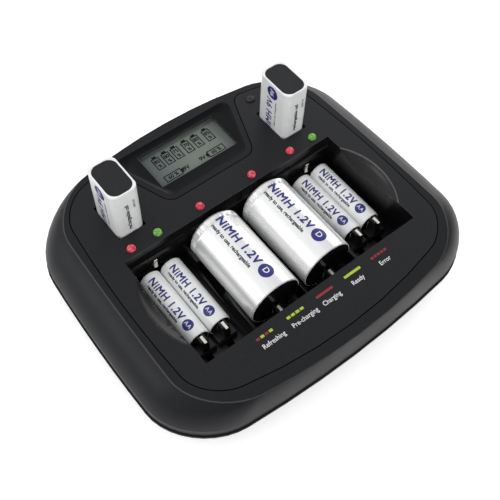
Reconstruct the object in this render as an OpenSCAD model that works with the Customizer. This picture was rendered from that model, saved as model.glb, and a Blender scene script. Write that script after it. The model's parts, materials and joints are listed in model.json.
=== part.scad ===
// Universal cell charger: a deck with six spring-loaded lanes for round cells,
// two upright wells for block cells, a display, six indicator lamps and one push button.
// The origin is on the table under the middle of the body, with X to the right,
// Y to the back and Z up. All sizes are in millimetres.

/* [Body] */
// Width of the body at its skirt
body_w = 224.4; // [218:0.2:236]
// Depth of the body at its skirt
body_d = 185; // [181:1:196]
// Height of the deck above the table
deck_h = 43; // [43:0.5:52]
// Width of the crown, inside the crease round the top
crown_w = 190; // [189:1:200]
// How far the crown's front and back lie inside the skirt's
crown_step = 1.5; // [1:0.1:3]
// Corner radius of the crown
crown_r = 33; // [28:1:38]
// Corner radius of the skirt
skirt_r = 38; // [35:1:44]
// How far the crown's front and back edges fall back at the corners
crown_bow = 12; // [8:1:13]
// How far the skirt's front and back edges fall back at the corners
skirt_bow = 8.9; // [6:0.1:10]
// How far the crown's sides draw in towards the corners
crown_side_bow = 1.5; // [0:0.5:3]
// How far the skirt's sides draw in towards the corners
skirt_side_bow = 3.5; // [1:0.5:5]
// How much the sides draw in towards the back
taper = 1.8; // [0:0.1:3]
// Height of the rounded flank, from the crease down to the skirt
flank_h = 17; // [15:0.5:19]
// Slope of the flank below level at the crease, in degrees
flank_start = 22; // [15:1:30]
// Slope of the flank below level at the skirt, in degrees
flank_end = 74; // [65:1:85]
// Height of the seam between the two housings
seam_h = 19.5; // [18.5:0.5:21]
// Open line at the seam
seam_gap = 0.7; // [0.3:0.1:0.8]
// How far the lower housing stands out past the upper one at the seam
seam_step = 0.8; // [0.4:0.1:1.2]
// Wall thickness of the housings
wall = 2.5; // [2:0.1:3]
// Height of the lower housing's upright band, below the seam
band_h = 2; // [1.5:0.1:3]
// How far the lower housing tucks in below its band
tuck = 11; // [9:0.5:13]
// Thickness of the lip that the lower housing raises inside the seam
lip_t = 1.2; // [1:0.1:1.5]
// Thickness of the lower housing's floor
base_t = 2; // [1.6:0.1:2.4]

/* [Deck plate] */
// Width of the deck plate
plate_w = 181; // [178:0.5:183]
// Width of the crown's rim in front of the deck plate
rim_front = 7.5; // [6:0.5:9]
// Width of the crown's rim behind the deck plate
rim_back = 3.5; // [3:0.5:5]
// Corner radius of the deck plate
plate_r = 21; // [18:1:26]
// How far the plate's front and back edges fall back at the corners
plate_bow = 13; // [9:1:14]
// How far the plate's sides draw in towards its corners
plate_side_bow = 4; // [2:0.5:5]
// Thickness of the deck plate
plate_t = 2.5; // [2:0.1:3]
// Groove between the deck plate and the crown
groove_w = 0.6; // [0.3:0.1:1]
// Width of the ledge that carries the plate
ledge = 3; // [2.5:0.1:3.5]
// Thickness of the ledge below the plate
ledge_t = 2.5; // [2:0.1:3]

/* [Display] */
// Half width of the display tongue at its front edge
tongue_front = 31.3; // [28:0.1:33]
// Half width of the display tongue at its root, by the back edge
tongue_root = 49.5; // [46:0.5:51]
// Distance of the tongue's front edge behind the bay
tongue_back = 17.6; // [16:0.1:18.5]
// Rounding of the tongue's front corners
tongue_r = 9; // [6:0.5:11]
// Distance of the tongue's root behind the bay
tongue_end = 66; // [65:0.5:67]
// Distance of the dish's back edge behind the bay
dish_back = 62.5; // [61.5:0.5:63]
// Width of the flat rim round the dished display surround
dish_rim = 4; // [3.5:0.1:5]
// Depth of the dished display surround
dish_depth = 1.5; // [1:0.1:1.8]
// Run of the dish's sloping edge
dish_slope = 2.2; // [1.5:0.1:3]
// Width of the display opening
lcd_w = 57; // [50:0.5:58]
// Height of the display opening, front to back
lcd_l = 28.5; // [25:0.5:29]
// Distance of the display's middle behind the bay
lcd_back = 44.7; // [44:0.1:45.5]
// Rim of the window plate behind the opening's edge
window_lap = 2; // [1.5:0.1:2.5]
// Thickness of the window plate
window_t = 1.2; // [1:0.1:1.4]
// Thickness of the display module
lcd_t = 3; // [2.5:0.1:3.5]

/* [Bay] */
// Room between the outer slim cells and the bay's end walls
bay_room = 3.45; // [2.5:0.05:4.5]
// Room in front of a slider that holds a large cell
slide_room = 2.5; // [2.2:0.1:4]
// Depth of the bay below the deck
bay_depth = 29; // [28:0.5:30]
// Distance of the bay's back edge from the back of the body
bay_rear = 71; // [70:0.5:73]
// Wall thickness of the bay and the wells
tub_t = 2; // [1.6:0.1:2.2]
// Thickness of the lane partitions
partition_t = 2; // [1.6:0.1:2.4]
// Height of the lane partitions above the floor
partition_h = 14.5; // [12:0.5:16]
// Height left of a partition in its finger gap
partition_low = 4; // [3:0.5:6]
// Room between a large cell and the outer partition
lane_room = 0.3; // [0.3:0.1:0.8]
// Room between a large cell and the middle partition
middle_room = 1.1; // [0.6:0.1:1.5]
// Room between a slim pair and the outer partition
pair_room = 4.55; // [4:0.05:5.5]
// Distance of the finger gaps from the bay's back edge
gap_back = 17; // [15:0.5:19]
// Length of the finger gaps
gap_l = 26; // [22:0.5:28]
// Length of a finger scoop along the bay's end wall
scoop_l = 53; // [46:1:54]
// How far a finger scoop reaches past the end wall at the deck
scoop_reach = 9; // [6:0.5:9.5]
// How far a finger scoop dips down the end wall
scoop_dip = 6; // [5:0.5:8]
// Distance of the scoops' middle from the bay's back edge
scoop_back = 37.5; // [36:0.5:41]
// Width of the low ribs that keep the slim cells in line
rib_t = 1.2; // [1:0.1:1.6]
// Height of the low ribs
rib_h = 3; // [2:0.5:4]

/* [Cells] */
// Diameter of a slim round cell
aa_d = 14.2; // [13.5:0.1:14.3]
// Length of a slim round cell, with its button
aa_len = 50.5; // [49.2:0.1:50.5]
// Diameter of a large round cell
d_d = 34.2; // [32:0.1:34.4]
// Length of a large round cell, with its button
d_len = 61.5; // [59.5:0.1:61.5]
// Width of a block cell, side to side
block_w = 17.5; // [15.5:0.1:17.7]
// Depth of a block cell, front to back
block_d = 26.5; // [24.5:0.1:26.7]
// Height of a block cell without its snaps
block_h = 46.4; // [45:0.1:46.4]
// Rounding of a block cell's upright edges
block_r = 4.2; // [3:0.1:5]
// Gap between the two slim cells of a pair
pair_gap = 0.3; // [0.2:0.1:0.8]
// Room under a cell where it lies on the floor
cell_rest = 0.15; // [0.1:0.05:0.3]

/* [Contacts] */
// Distance of the positive contacts' faces from the bay's back edge
contact_back = 4.2; // [3.8:0.1:5]
// Thickness of the contact strip
strip_t = 0.5; // [0.4:0.1:0.6]
// Gap between a contact and the cell's end
contact_gap = 0.1; // [0.05:0.05:0.2]
// Length of the bosses behind the positive contacts
boss_l = 1.6; // [1.2:0.1:2]
// Height of the rail along the bay's back wall
rail_h = 21.5; // [20:0.5:23]
// Width of a positive contact
plus_w = 6; // [5:0.5:7]
// Height of a positive contact
plus_h = 8; // [7:0.5:9]
// Width of the negative contact's bright top tab
tab_w = 1.6; // [1.2:0.1:2]
// Length of the negative contact's top tab
tab_l = 5; // [4:0.5:5.4]
// Distance of the top tab from the slider's back face
tab_in = 1.6; // [1.2:0.1:2]

/* [Sliders] */
// Width of a contact slider
slider_w = 12.4; // [11:0.2:13]
// Length of a contact slider along the lane
slider_l = 7.5; // [7:0.1:8]
// Height of a contact slider above the floor
slider_h = 14.2; // [12:0.2:15]
// Height of a slider's low carriage above the floor
carriage_h = 4.5; // [4:0.1:6]
// Thickness of the upright fin on a slider
fin_t = 4.4; // [3.8:0.1:5]
// Running clearance of the sliders
run_gap = 0.3; // [0.2:0.05:0.4]
// Width of a slider's stem in its floor slot
stem_w = 4; // [3:0.1:5]
// Length of a slider's stem
stem_l = 5; // [4:0.1:5.5]
// Width of the keeper under the floor
keeper_w = 9; // [7:0.5:11]
// Thickness of the keeper under the floor
keeper_t = 2.4; // [2:0.1:2.6]
// Length of the shortest cell that a lane takes
short_cell = 43; // [42:0.5:44]
// Outer diameter of a slider spring
spring_d = 3.2; // [2.6:0.1:3.4]
// Wire diameter of a slider spring
wire_d = 0.5; // [0.4:0.05:0.6]
// Number of turns in a slider spring
spring_turns = 10; // [8:1:12]
// Distance of the springs' anchors from the bay's back edge
anchor_back = 21; // [19:0.5:23]

/* [Block cell wells] */
// Distance of each well from the middle
well_x = 60.3; // [59.5:0.1:61.5]
// Distance of a block cell's front face from the bay's back edge
well_back = 14.6; // [14.2:0.1:16]
// Room round a block cell in its well
well_gap = 0.4; // [0.3:0.05:0.6]
// Height of a block cell above the deck
block_stand = 36.7; // [35:0.1:38]
// Distance between the two snaps
snap_pitch = 12.7; // [12.5:0.1:12.9]
// Diameter of a male snap stud
stud_d = 5.7; // [5.4:0.1:5.8]
// Height of a snap
snap_h = 2.6; // [2.4:0.1:2.8]
// Wall thickness of a female snap ring
ring_t = 1; // [0.8:0.1:1.2]
// Thickness of the snap connector's plate
snap_plate_t = 1.6; // [1.2:0.1:2]

/* [Lamps and button] */
// Diameter of an indicator lamp
led_d = 5.6; // [4.6:0.1:6]
// Length of an indicator lamp
led_l = 8.6; // [8:0.1:9]
// Height of a lamp's dome above the deck
led_proud = 2; // [1.6:0.1:2.4]
// Distance of the lamps from the bay's back edge
led_back = 5.5; // [5.2:0.1:6]
// Distance of an outer lamp beyond the middle of its slim pair
led_out = 9.7; // [9:0.1:10.5]
// Distance of an inner lamp short of the middle of its slim pair
led_in = 8.3; // [7.5:0.1:9]
// Clearance of a lamp or the button in its hole
hole_gap = 0.2; // [0.1:0.05:0.3]
// Diameter of the push button
button_d = 5.6; // [5:0.1:6]
// Height of the push button above the deck
button_proud = 0.9; // [0.7:0.1:1.2]
// Distance of the push button from the middle
button_x = 55.6; // [55:0.1:56.5]
// Distance of the push button in front of the deck plate's back edge
button_in = 8.1; // [7.9:0.1:8.6]
// Travel of the push button
button_travel = 0.6; // [0.4:0.1:0.8]

/* [Base] */
// Height of the rubber feet below the lower housing
foot_h = 2; // [1.5:0.1:3]
// Diameter of a rubber foot
foot_d = 14; // [10:0.5:16]
// Depth of the recess that holds a foot
foot_seat = 0.6; // [0.4:0.1:0.8]
// Distance of the feet from the middle, sideways
foot_x = 76; // [72:0.5:78]
// Distance of the feet from the body's front and back
foot_in = 36.5; // [34:0.5:40]
// Distance of the screws from the middle, sideways
screw_x = 92; // [91:0.1:92.5]
// Distance of the screws from the body's front and back
screw_in = 42.5; // [40:0.5:45]
// Thread diameter of the case screws
screw_d = 2.9; // [2.5:0.1:3]
// Length of the case screws below the head
screw_l = 24; // [20:0.5:28]
// Diameter of the screw bosses
boss_d = 9; // [8:0.2:9.4]
// Thickness of the circuit boards
board_t = 1.6; // [1.2:0.1:1.8]
// Height of the posts under the main board
board_post = 9.4; // [8:0.1:10]
// Width of the main board
board_w = 132; // [120:1:140]
// Room between the main board and the bay's back wall
board_room = 3; // [2:0.5:5]
// Distance of the main board's back edge from the inlet's wall
board_in = 7; // [6.5:0.5:10]
// Distance of the board's posts from its edges
post_in = 9; // [8.5:0.5:12]
// Distance of the supply parts from the main board's back edge
supply_in = 24; // [18:0.5:28]
// Distance of the capacitor left of the middle
capacitor_x = 16; // [12:0.5:24]
// Distance of the choke right of the middle
choke_x = 14; // [12:0.5:24]
// Distance of the ventilation slots from the middle
vent_x = 30; // [26:0.5:36]
// Room between the inlet's block and the housing's lip
inlet_room = 1; // [0.8:0.1:2]
// Distance of the power inlet left of the middle
inlet_x = 40; // [34:0.5:46]

/* [Hidden] */
$fn = 48;
corner_steps = 10;
side_steps = 6;
flank_steps = 9;
tuck_edge = 1.5;
tuck_steps = 3;
through = 0.5;

crown_d = body_d - 2 * crown_step;
plate_d = crown_d - rim_front - rim_back;
plate_shift = (rim_front - rim_back) / 2;
bay_back = body_d / 2 - bay_rear;
foot_y = body_d / 2 - foot_in;
screw_y = body_d / 2 - screw_in;

d_x = (d_d + partition_t) / 2 + middle_room;
partition_x = d_x + (d_d + partition_t) / 2 + lane_room;
aa_pitch = aa_d + pair_gap;
pair_x = partition_x + (partition_t + aa_d + aa_pitch) / 2 + pair_room;
bay_w = 2 * pair_x + aa_pitch + aa_d + 2 * bay_room;
bay_d = contact_back + d_len + 2 * contact_gap + strip_t + slider_l + slide_room;

floor_z = deck_h - bay_depth;
under_z = floor_z - tub_t;
plate_z = deck_h - plate_t;
ledge_z = plate_z - ledge_t;
base_z = foot_h + base_t;
bay_front = bay_back - bay_d;
contact_y = bay_back - contact_back;
rail_y = contact_y + strip_t + boss_l;
wall_y = bay_back + tub_t;

lane_x = [-pair_x - aa_pitch / 2, -pair_x + aa_pitch / 2, -d_x, d_x, pair_x - aa_pitch / 2, pair_x + aa_pitch / 2];
lane_len = [aa_len, aa_len, d_len, d_len, aa_len, aa_len];
slim_lanes = [1, 2, 5, 6];
large_lanes = [3, 4];
plus_large_x = [-pair_x, -d_x, d_x, pair_x];
plus_large_z = floor_z + d_d / 2 - plus_h / 2;

slot_w = stem_w + 2 * run_gap;
slot_back = contact_y - short_cell - strip_t - (slider_l - stem_l) / 2 + run_gap;
slot_front = bay_front + run_gap + (slider_l - stem_l) / 2 - run_gap;
anchor_y = bay_back - anchor_back;
anchor_l = 2;
spring_z = under_z - run_gap - spring_d / 2;

scoop_radius_flat = scoop_l * scoop_l / 8 / scoop_reach + scoop_reach / 2;
scoop_rise = (scoop_l * scoop_l / 4 - scoop_dip * scoop_dip) / 2 / scoop_dip;
scoop_radius = sqrt(scoop_radius_flat * scoop_radius_flat + scoop_rise * scoop_rise);
scoop_x = bay_w / 2 + scoop_reach - scoop_radius_flat;

well_y = bay_back + well_back + block_d / 2;
block_z = deck_h + block_stand - block_h;
snap_z = block_z - snap_h - 2 * contact_gap;
well_floor = snap_z - snap_plate_t;
well_w = block_w + 2 * well_gap;
well_l = block_d + 2 * well_gap;

led_y = bay_back + led_back;
led_x_outer = pair_x + led_out;
led_x_inner = pair_x - led_in;
led_x = [-led_x_outer, -led_x_inner, -d_x, d_x, led_x_inner, led_x_outer];
peg_x = [(d_x + led_x_inner) / 2, (led_x_inner + led_x_outer) / 2];
led_z = deck_h + led_proud - led_l;
led_flange_d = led_d + 0.8;
led_flange_t = 1;
button_y = plate_shift + plate_d / 2 - plate_bow * pow(2 * button_x / plate_w, 2) - button_in;
button_flange_d = button_d + 1.4;
button_flange_t = 1.2;

lcd_y = bay_back + lcd_back;
window_z = ledge_z + window_t;
display_z = ledge_z - lcd_t;
main_z = base_z + board_post + board_t;
inlet_h = 11;
inlet_w = 9;
inlet_l = 13;
inlet_nose_d = 8.6;
inlet_y = body_d / 2 - skirt_bow * pow(2 * inlet_x / body_w, 2) - wall;
inlet_back = seam_step + run_gap + lip_t + inlet_room;
board_front = wall_y + board_room;
board_back = inlet_y - board_in;
supply_y = board_back - supply_in;

function mix(a, b, s) = a + (b - a) * s;

// A rounded rectangle, with points along its straight sides so that they can be bowed
function corner(q, hw, hd, r) = [(q == 0 || q == 3 ? 1 : -1) * (hw - r), (q < 2 ? 1 : -1) * (hd - r)];
function on_arc(q, a, hw, hd, r) = corner(q, hw, hd, r) + r * [cos(90 * q + a), sin(90 * q + a)];
function rounded(hw, hd, r) = [
    for (q = [0:3]) each concat(
        [for (k = [0:corner_steps]) on_arc(q, 90 * k / corner_steps, hw, hd, r)],
        [for (k = [1:side_steps - 1])
            mix(on_arc(q, 90, hw, hd, r), on_arc((q + 1) % 4, 0, hw, hd, r), k / side_steps)]
    )
];

// The same outline with bowed sides and ends, a little narrower at the back
function bowed(hw, hd, r, sides, ends) = [
    for (p = rounded(hw, hd, r)) let (u = p.x / hw, v = p.y / hd)
        [p.x - u * v * (sides * v + taper), p.y - v * ends * u * u]
];

// The body's outline part way down the flank: 0 at the crease and 1 at the skirt
function body_outline(s, inset) = bowed(
    mix(crown_w, body_w, s) / 2 - inset,
    mix(crown_d, body_d, s) / 2 - inset,
    mix(crown_r, skirt_r, s) - inset,
    mix(crown_side_bow, skirt_side_bow, s),
    mix(crown_bow, skirt_bow, s)
);
function flank_angle(t) = mix(flank_start, flank_end, t);
function flank_out(t) = (sin(flank_angle(t)) - sin(flank_start)) / (sin(flank_end) - sin(flank_start));
function flank_drop(t) = (cos(flank_start) - cos(flank_angle(t))) / (cos(flank_start) - cos(flank_end));

function body_ring(s, inset, z) = [for (p = body_outline(s, inset)) [p.x, p.y, z]];

// A closed solid through a stack of outlines, from the lowest to the highest
module loft(rings) {
    n = len(rings[0]);
    m = len(rings);
    sides = [
        for (j = [0:m - 2], k = [0:n - 1]) let (a = j * n + k, b = j * n + (k + 1) % n)
            each [[a, a + n, b], [b, a + n, b + n]]
    ];
    lowest = [for (k = [0:n - 1]) k];
    highest = [for (k = [n - 1:-1:0]) (m - 1) * n + k];
    polyhedron([for (r = rings) each r], concat([lowest], sides, [highest]));
}

// The upper body as one lofted form, from a straight skirt up the flank to the crown
module crown_form(inset, top, drop, bottom) {
    loft(concat(
        [body_ring(1, inset + seam_step, bottom)],
        [for (k = [flank_steps:-1:0]) let (t = k / flank_steps)
            body_ring(flank_out(t), inset + seam_step * flank_out(t), top - drop * flank_drop(t))]
    ));
}

// The lower body: an upright band, a tuck that slopes in below it and a rounded flat underside
module base_form(inset, top, bottom) {
    loft(concat(
        [for (k = [tuck_steps:-1:0]) let (a = 90 * k / tuck_steps)
            body_ring(1, inset + tuck + tuck_edge * (1 - cos(a)), bottom + tuck_edge * (1 - sin(a)))],
        [body_ring(1, inset, seam_h - band_h), body_ring(1, inset, top)]
    ));
}

// An upright wall between two insets of the skirt's outline
module skirt_ring(outer, inner, z, h) {
    translate([0, 0, z]) linear_extrude(h) difference() {
        polygon(body_outline(1, outer));
        polygon(body_outline(1, inner));
    }
}

// The tongue of the crown that carries the display, between the two wells
module tongue_outline() {
    slope = (tongue_root - tongue_front) / (tongue_end - tongue_back);
    past = 2 * tongue_r;
    offset(r = tongue_r) offset(delta = -tongue_r)
        polygon([
            [-tongue_front, bay_back + tongue_back],
            [tongue_front, bay_back + tongue_back],
            [tongue_root + slope * past, bay_back + tongue_end + past],
            [-tongue_root - slope * past, bay_back + tongue_end + past]
        ]);
}

// The dished surround of the display, drawn in by an inset
module dish_outline(inset) {
    dish_r = 5;
    offset(r = dish_r) offset(delta = -dish_r - inset) intersection() {
        offset(delta = -dish_rim) tongue_outline();
        translate([-crown_w / 2, 0]) square([crown_w, bay_back + dish_back]);
    }
}

module plate_outline() {
    corner_round = 7;
    offset(r = corner_round) offset(delta = -corner_round) difference() {
        translate([0, plate_shift])
            polygon(bowed(plate_w / 2, plate_d / 2, plate_r, plate_side_bow, plate_bow));
        tongue_outline();
    }
}

module at_corners(x, y) {
    for (sx = [-1, 1], sy = [-1, 1]) translate([sx * x, sy * y, 0]) children();
}

module box_on(x, y, z, size) {
    translate([x - size.x / 2, y - size.y / 2, z]) cube(size);
}

// Rounded rectangle with true corner arcs
module round_rect(w, d, r) {
    square([w, d - 2 * r], center = true);
    square([w - 2 * r, d], center = true);
    for (sx = [-1, 1], sy = [-1, 1]) translate([sx * (w / 2 - r), sy * (d / 2 - r)]) circle(r);
}

module inlet_hole() {
    translate([-inlet_x, inlet_y - inlet_back, main_z + inlet_h / 2])
        rotate([-90, 0, 0]) cylinder(d = inlet_nose_d + 2 * run_gap, h = inlet_back + 3 * wall);
}

// Lower housing with feet seats, screw bosses, board posts and ventilation slots
module lower_housing() {
    vent_w = 3;
    vent_l = 34;
    vent_pitch = 8;
    lip_h = 2;
    lip_out = wall + seam_step + run_gap;
    lip_in = lip_out + lip_t;
    post_d = 6;
    color("#2a2b2e") difference() {
        union() {
            difference() {
                base_form(0, seam_h - seam_gap / 2, foot_h);
                base_form(wall, seam_h + through, base_z);
            }
            skirt_ring(wall / 2, lip_in, seam_h - band_h, band_h - seam_gap / 2);
            skirt_ring(lip_out, lip_in, seam_h - band_h, band_h + lip_h);
            at_corners(screw_x, screw_y) translate([0, 0, base_z - base_t / 2])
                cylinder(d = boss_d, h = seam_h - seam_gap / 2 - base_z + base_t / 2);
            for (sx = [-1, 1], y = [board_front + post_in, board_back - post_in])
                translate([sx * (board_w / 2 - post_in), y, base_z - base_t / 2])
                    cylinder(d = post_d, h = base_t / 2 + board_post);
        }
        at_corners(foot_x, foot_y) cylinder(d = foot_d + 2 * hole_gap, h = foot_h + foot_seat);
        at_corners(screw_x, screw_y) {
            cylinder(d = screw_d + 0.6, h = seam_h + through);
            cylinder(d = 2 * screw_d + 0.8, h = base_z + base_t);
        }
        for (sx = [-1, 1], k = [-2:2])
            box_on(sx * vent_x, k * vent_pitch, foot_h - through, [vent_l, vent_w, base_t + 2 * through]);
        inlet_hole();
    }
}

// Upper housing: flank, crown rim with a ledge for the deck plate, and the dished display tongue
module upper_housing() {
    rim_t = plate_t + ledge_t;
    peg_d = 4;
    color("#323336") difference() {
        union() {
            difference() {
                crown_form(0, deck_h, flank_h, seam_h + seam_gap / 2);
                crown_form(wall, deck_h - rim_t, flank_h - wall, seam_h - through);
                translate([0, 0, plate_z]) linear_extrude(plate_t + through)
                    offset(delta = groove_w) plate_outline();
                translate([0, 0, ledge_z - through]) linear_extrude(ledge_t + 2 * through)
                    offset(delta = -ledge) plate_outline();
            }
            at_corners(screw_x, screw_y) translate([0, 0, seam_h - seam_gap / 2])
                cylinder(d = boss_d, h = deck_h - rim_t - seam_h + seam_gap / 2 + through);
            for (sx = [-1, 1], y = [lcd_y - 6, lcd_y + 12])
                translate([sx * (lcd_w / 2 + 7), y, display_z]) cylinder(d = peg_d, h = lcd_t + through);
        }
        hull() {
            translate([0, 0, deck_h]) linear_extrude(through) dish_outline(0);
            translate([0, 0, deck_h - dish_depth]) linear_extrude(through) dish_outline(dish_slope);
        }
        box_on(0, lcd_y, ledge_z - through, [lcd_w, lcd_l, rim_t]);
        box_on(0, lcd_y, ledge_z - through,
            [lcd_w + 2 * window_lap + 2 * hole_gap, lcd_l + 2 * window_lap + 2 * hole_gap, window_t + through]);
        at_corners(screw_x, screw_y) cylinder(d = screw_d + 0.1, h = screw_l + base_z + base_t + 1);
        inlet_hole();
        tub_forms(run_gap);
    }
}

// The outsides of the bay, its finger scoops and the wells, drawn out by a clearance
module tub_forms(grow) {
    out = tub_t + grow;
    translate([-bay_w / 2 - out, bay_front - out, under_z - grow])
        cube([bay_w + 2 * out, bay_d + 2 * out, deck_h - under_z + 2 * grow]);
    for (sx = [-1, 1]) intersection() {
        translate([sx * scoop_x, bay_back - scoop_back, deck_h + scoop_rise]) sphere(scoop_radius + out);
        translate([sx * (bay_w / 2 + scoop_reach / 2), bay_back - bay_d / 2, deck_h - scoop_dip + grow])
            cube([scoop_reach + 2 * out, bay_d, 2 * scoop_dip], center = true);
    }
    for (sx = [-1, 1]) box_on(sx * well_x, well_y, well_floor - out,
        [well_w + 2 * out, well_l + 2 * out, deck_h - well_floor + out + grow]);
}

// Spring-loaded lanes, finger scoops and block-cell wells, moulded in one piece with the deck plate
module battery_deck() {
    peg_d = 4;
    color("#1c1d1f") {
        difference() {
            union() {
                translate([0, 0, plate_z]) linear_extrude(plate_t) plate_outline();
                tub_forms(0);
                for (sx = [-1, 1], x = peg_x)
                    translate([sx * x, led_y + 3, led_z]) cylinder(d = peg_d, h = plate_z - led_z + through);
                for (x = lane_x)
                    box_on(x, anchor_y + anchor_l / 2, spring_z - spring_d / 2,
                        [spring_d + 1, anchor_l, under_z - spring_z + spring_d / 2 + through]);
            }
            translate([-bay_w / 2, bay_front, floor_z]) cube([bay_w, bay_d, bay_depth + through]);
            for (sx = [-1, 1]) intersection() {
                translate([sx * scoop_x, bay_back - scoop_back, deck_h + scoop_rise]) sphere(scoop_radius);
                translate([sx * (bay_w / 2 + scoop_reach), bay_back - bay_d / 2, deck_h])
                    cube([2 * scoop_reach + tub_t, bay_d, bay_depth], center = true);
            }
            for (sx = [-1, 1])
                box_on(sx * well_x, well_y, well_floor, [well_w, well_l, deck_h - well_floor + through]);
            for (x = led_x) translate([x, led_y, plate_z - through])
                cylinder(d = led_d + 2 * hole_gap, h = plate_t + 2 * through);
            translate([button_x, button_y, plate_z - through])
                cylinder(d = button_d + 2 * hole_gap, h = plate_t + 2 * through);
            for (x = lane_x) translate([x - slot_w / 2, slot_front, under_z - through])
                cube([slot_w, slot_back - slot_front, tub_t + 2 * through]);
            translate([-plate_w, -plate_d, deck_h]) cube([2 * plate_w, 2 * plate_d, deck_h]);
        }
        lane_walls();
        contact_rail();
    }
}

// Lane partitions with a finger gap in each, and low ribs beside the slim cells
module lane_walls() {
    rib_l = gap_l;
    rib_out = (aa_pitch + aa_d + rib_t) / 2 + cell_rest;
    for (x = [-partition_x, 0, partition_x]) difference() {
        translate([x - partition_t / 2, bay_front, floor_z]) cube([partition_t, bay_d, partition_h]);
        translate([x - partition_t, bay_back - gap_back - gap_l, floor_z + partition_low])
            cube([2 * partition_t, gap_l, partition_h]);
    }
    for (sx = [-1, 1], side = [-1, 1])
        translate([sx * (pair_x + side * rib_out), bay_back - gap_back, floor_z])
            translate([-rib_t / 2, -rib_l, 0]) cube([rib_t, rib_l, rib_h]);
}

// Rail along the bay's back wall, with a boss behind each positive contact
module contact_rail() {
    boss_w = plus_w + 2;
    translate([-bay_w / 2, rail_y, floor_z]) cube([bay_w, bay_back - rail_y, rail_h]);
    for (i = slim_lanes) box_on(lane_x[i - 1], rail_y - boss_l / 2, floor_z, [boss_w, boss_l, aa_d / 2 + plus_h / 2]);
    for (i = large_lanes) box_on(lane_x[i - 1], rail_y - boss_l / 2, floor_z, [boss_w, boss_l, rail_h]);
}

module lcd_window() {
    pane_h = deck_h - dish_depth - window_z - hole_gap;
    color("#a8b0ac", 0.35) {
        box_on(0, lcd_y, ledge_z, [lcd_w + 2 * window_lap, lcd_l + 2 * window_lap, window_t]);
        box_on(0, lcd_y, window_z - through, [lcd_w - 2 * hole_gap, lcd_l - 2 * hole_gap, pane_h + through]);
    }
}

// Display module: a glass cell on a shallow frame
module lcd_module() {
    frame_lap = 4;
    glass_t = 1.1;
    color("#8f9a90") {
        box_on(0, lcd_y, display_z, [lcd_w + 2 * frame_lap, lcd_l + 2 * frame_lap, lcd_t - glass_t]);
        box_on(0, lcd_y, display_z + lcd_t - glass_t - through,
            [lcd_w + 2 * window_lap, lcd_l + 2 * window_lap, glass_t + through]);
    }
}

// Board under the display, with an ear that reaches the push button's switch
module display_board() {
    ear_l = 11;
    color("#1f5a35") {
        box_on(0, lcd_y, display_z - board_t, [lcd_w + 20, lcd_l + 10, board_t]);
        translate([0, button_y - ear_l / 2, display_z - board_t]) cube([button_x + ear_l / 2, ear_l, board_t]);
    }
}

module indicator_board() {
    front = wall_y + run_gap;
    back = well_y - block_d / 2 - well_gap - tub_t - run_gap;
    color("#1f5a35") translate([-bay_w / 2, front, led_z - board_t]) cube([bay_w, back - front, board_t]);
}

module main_board() {
    color("#1f5a35") translate([-board_w / 2, board_front, main_z - board_t])
        cube([board_w, board_back - board_front, board_t]);
}

// Power inlet: a moulded block with a round nose in the housing's back wall and a centre pin
module dc_inlet() {
    bore_d = 6.2;
    pin_d = 2;
    bore_l = 9;
    color("#17181a") translate([-inlet_x, inlet_y, main_z + inlet_h / 2]) {
        difference() {
            union() {
                translate([-inlet_w / 2, -inlet_l - inlet_back, -inlet_h / 2]) cube([inlet_w, inlet_l, inlet_h]);
                rotate([90, 0, 0]) translate([0, 0, -wall])
                    cylinder(d = inlet_nose_d, h = wall + inlet_back + through);
            }
            rotate([90, 0, 0]) translate([0, 0, -wall - through]) cylinder(d = bore_d, h = bore_l + through);
        }
        rotate([90, 0, 0]) translate([0, 0, -wall + 1]) cylinder(d = pin_d, h = bore_l);
    }
}

module supply_capacitor() {
    cap_d = 10;
    cap_h = 13;
    color("#23262c") translate([-capacitor_x, supply_y, main_z]) rotate_extrude()
        polygon([[0, 0], [cap_d / 2, 0], [cap_d / 2, 1.6], [cap_d / 2 - 0.5, 2], [cap_d / 2, 2.4],
            [cap_d / 2, cap_h - 0.6], [cap_d / 2 - 0.6, cap_h], [0, cap_h]]);
}

// Wound ring choke, lying flat on the main board
module supply_inductor() {
    ring_r = 7;
    core_r = 3.5;
    color("#8a5a2b") translate([choke_x, supply_y, main_z + core_r]) rotate_extrude() translate([ring_r, 0]) circle(core_r);
}

module refresh_button() {
    top = deck_h + button_proud;
    foot = plate_z - contact_gap - button_flange_t;
    edge = 0.5;
    color("#17181a") translate([button_x, button_y, 0]) rotate_extrude()
        polygon([[0, foot], [button_flange_d / 2, foot], [button_flange_d / 2, foot + button_flange_t],
            [button_d / 2, foot + button_flange_t], [button_d / 2, top - edge], [button_d / 2 - edge, top], [0, top]]);
}

module button_switch() {
    body = 6;
    plunger_d = 3;
    top = plate_z - button_flange_t - button_travel - 2 * contact_gap;
    plunger_h = 0.6;
    color("#3a3b3f") translate([button_x, button_y, 0]) {
        box_on(0, 0, display_z, [body, body, top - plunger_h - display_z]);
        translate([0, 0, display_z]) cylinder(d = plunger_d, h = top - display_z);
    }
}

// Indicator lamp: a flanged, domed lens standing on the indicator board
module led(i) {
    lens = (i == 2 || i == 6) ? "#58b848" : "#d8404c";
    color(lens) translate([led_x[i - 1], led_y, led_z]) rotate_extrude() intersection() {
        union() {
            square([led_flange_d / 2, led_flange_t]);
            square([led_d / 2, led_l - led_d / 2]);
            translate([0, led_l - led_d / 2]) circle(led_d / 2);
        }
        square([led_flange_d, led_l]);
    }
}

function cell_front(i) = contact_y - contact_gap - lane_len[i - 1];
function slider_back(i) = cell_front(i) - contact_gap - strip_t;

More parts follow.
